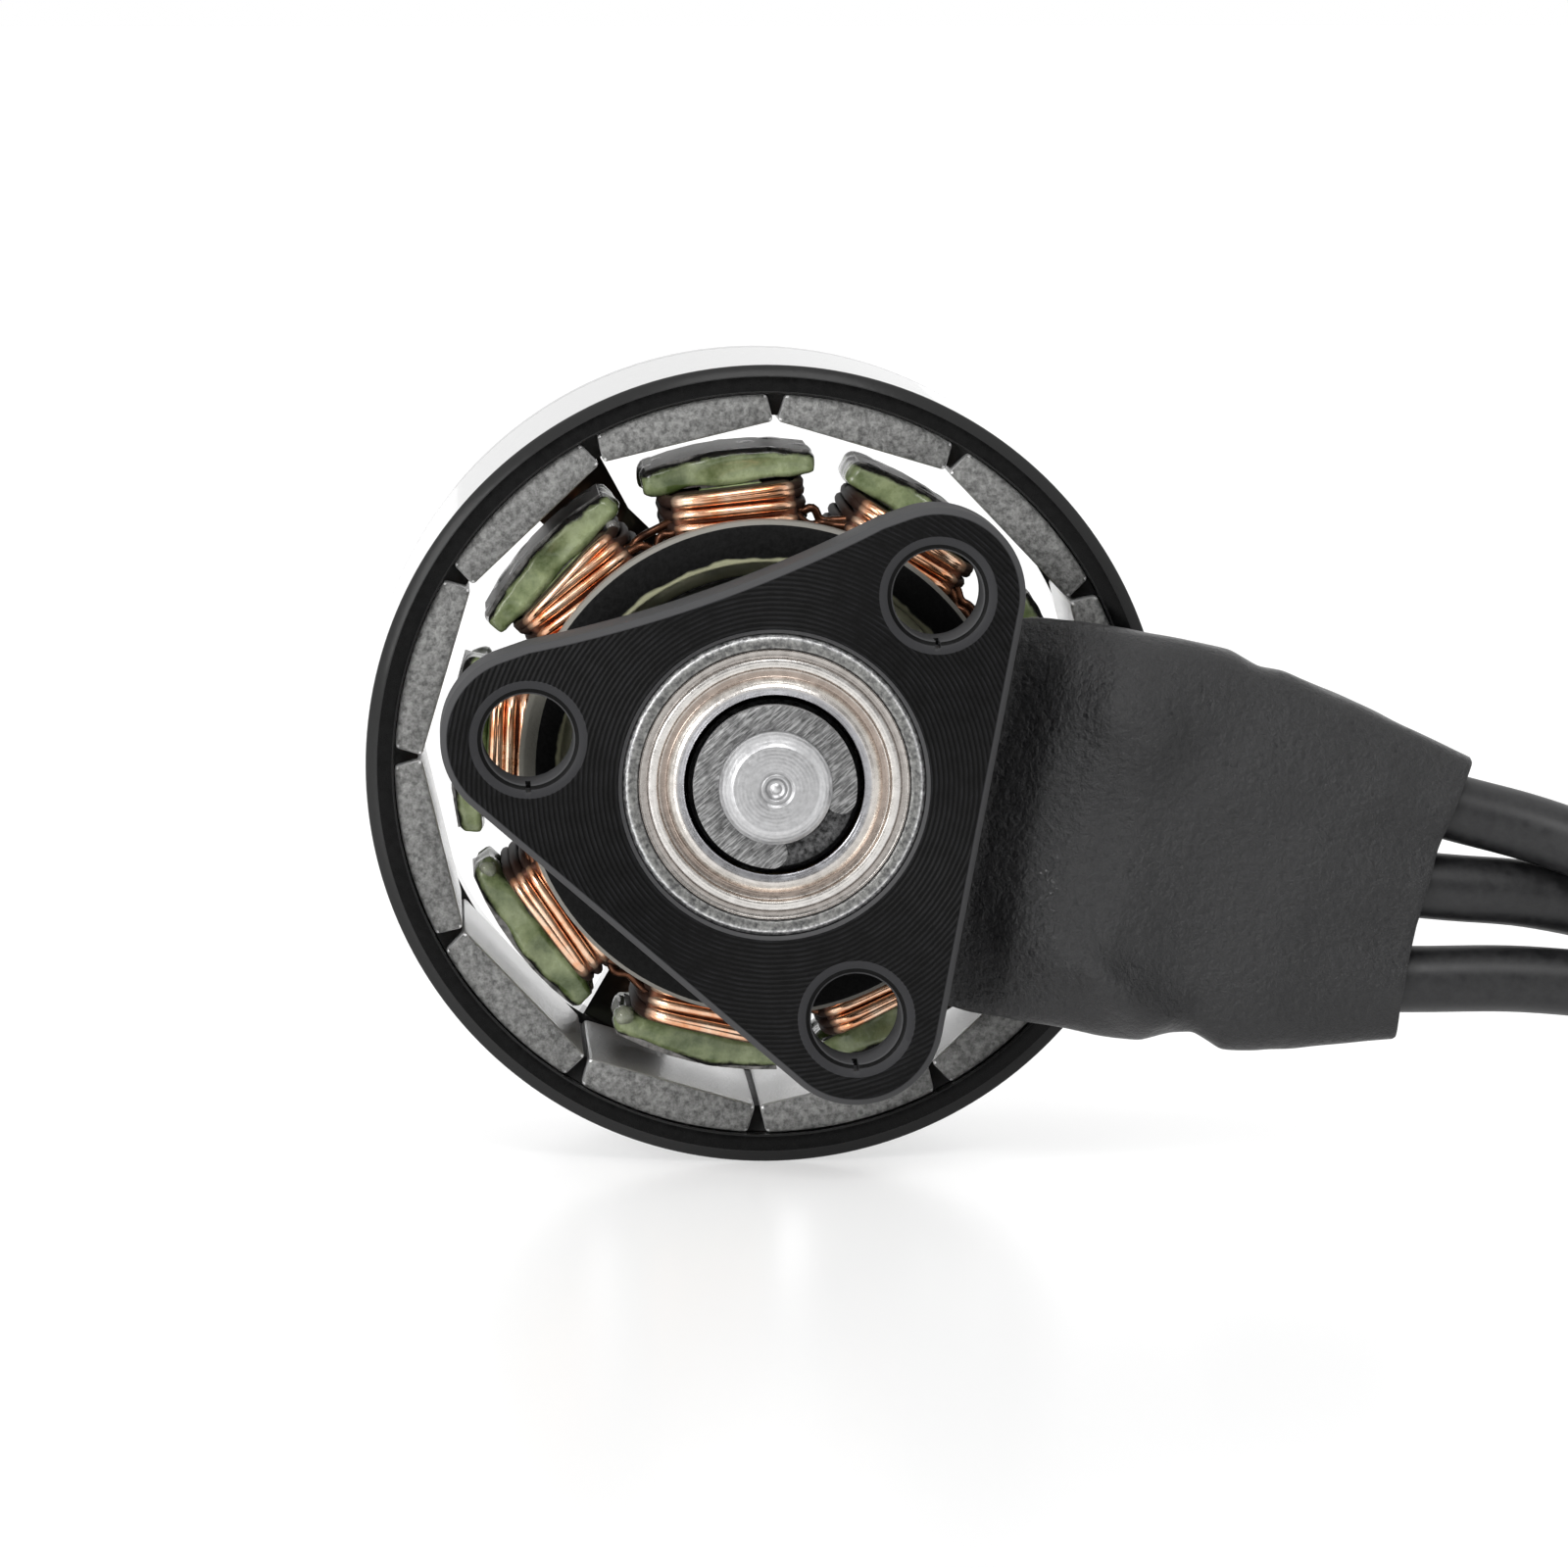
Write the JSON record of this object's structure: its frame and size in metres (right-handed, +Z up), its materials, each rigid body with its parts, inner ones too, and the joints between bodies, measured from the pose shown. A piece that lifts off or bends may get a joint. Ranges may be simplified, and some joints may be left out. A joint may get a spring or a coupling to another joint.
{
  "type": "micro brushless outrunner motor",
  "caption": "Tiny outrunner motor with a three-lobed screw mounting plate, open wound stator, ring of magnets in a spoked bell, propeller shaft and soft leads in a sleeve.",
  "frame": {"origin": "centre of the three-screw circle on the front mounting face, on the motor's axis", "axes": "-Y out of the mounting face along the axis, +Y towards the propeller shaft, +Z up as the motor stands on its bell, leads leave along +X"},
  "size_m": [0.0302, 0.0137, 0.0108],
  "materials": {
    "black_anodised": "satin black anodised aluminium",
    "bearing_steel": "ground bearing steel",
    "shield_steel": "pressed steel shield",
    "cage_brass": "pressed ribbon cage",
    "shaft_steel": "ground hardened steel",
    "clip_steel": "sprung steel, scratched",
    "lamination_steel": "dark laminated silicon steel",
    "green_epoxy": "olive green epoxy coating",
    "enamelled_copper": "enamelled copper wire",
    "black_plastic": "moulded black plastic",
    "heat_shrink": "satin black heat shrink",
    "silicone": "soft black silicone insulation",
    "solder": "bright solder",
    "magnet": "bare mottled grey sintered magnet",
    "black_steel": "black coated steel"
  },
  "bodies": {
    "stator": {"base": "black_anodised", "insulator_ring": "black_plastic", "stator_core": "lamination_steel", "stator_coating": "green_epoxy", "coil_1": "enamelled_copper", "coil_2": "enamelled_copper", "coil_3": "enamelled_copper", "coil_4": "enamelled_copper", "coil_5": "enamelled_copper", "coil_6": "enamelled_copper", "coil_7": "enamelled_copper", "coil_8": "enamelled_copper", "coil_9": "enamelled_copper", "jumper_wires": "enamelled_copper", "winding_tails": "enamelled_copper", "heat_shrink": "heat_shrink", "solder_joints": "solder", "lead_a": "silicone", "lead_b": "silicone", "lead_c": "silicone", "lead_tips": "solder", "lower_bearing_outer_ring": "bearing_steel", "lower_bearing_shields": "shield_steel", "upper_bearing_outer_ring": "bearing_steel", "upper_bearing_shields": "shield_steel"},
    "rotor": {"shaft": "shaft_steel", "retaining_clip": "clip_steel", "shim": "shaft_steel", "bell_cap": "black_anodised", "flux_ring": "black_steel", "magnet_1": "magnet", "magnet_2": "magnet", "magnet_3": "magnet", "magnet_4": "magnet", "magnet_5": "magnet", "magnet_6": "magnet", "magnet_7": "magnet", "magnet_8": "magnet", "magnet_9": "magnet", "magnet_10": "magnet", "magnet_11": "magnet", "magnet_12": "magnet", "lower_bearing_inner_ring": "bearing_steel", "upper_bearing_inner_ring": "bearing_steel"},
    "lower_cage": {"lower_bearing_balls": "bearing_steel", "lower_bearing_cage": "cage_brass"},
    "upper_cage": {"upper_bearing_balls": "bearing_steel", "upper_bearing_cage": "cage_brass"}
  },
  "joints": [
    {"name": "rotor_spin", "type": "hinge", "parent": "stator", "child": "rotor", "pos_m": [0, 0, 0], "axis": [0, 1, 0], "continuous": true},
    {"name": "lower_cage_spin", "type": "hinge", "parent": "stator", "child": "lower_cage", "pos_m": [0, 0, 0], "axis": [0, 1, 0], "continuous": true},
    {"name": "upper_cage_spin", "type": "hinge", "parent": "stator", "child": "upper_cage", "pos_m": [0, 0, 0], "axis": [0, 1, 0], "continuous": true}
  ],
  "couplings": [
    {"joint": "lower_cage_spin", "follows": "rotor_spin", "ratio": 0.3913},
    {"joint": "upper_cage_spin", "follows": "rotor_spin", "ratio": 0.3913}
  ]
}
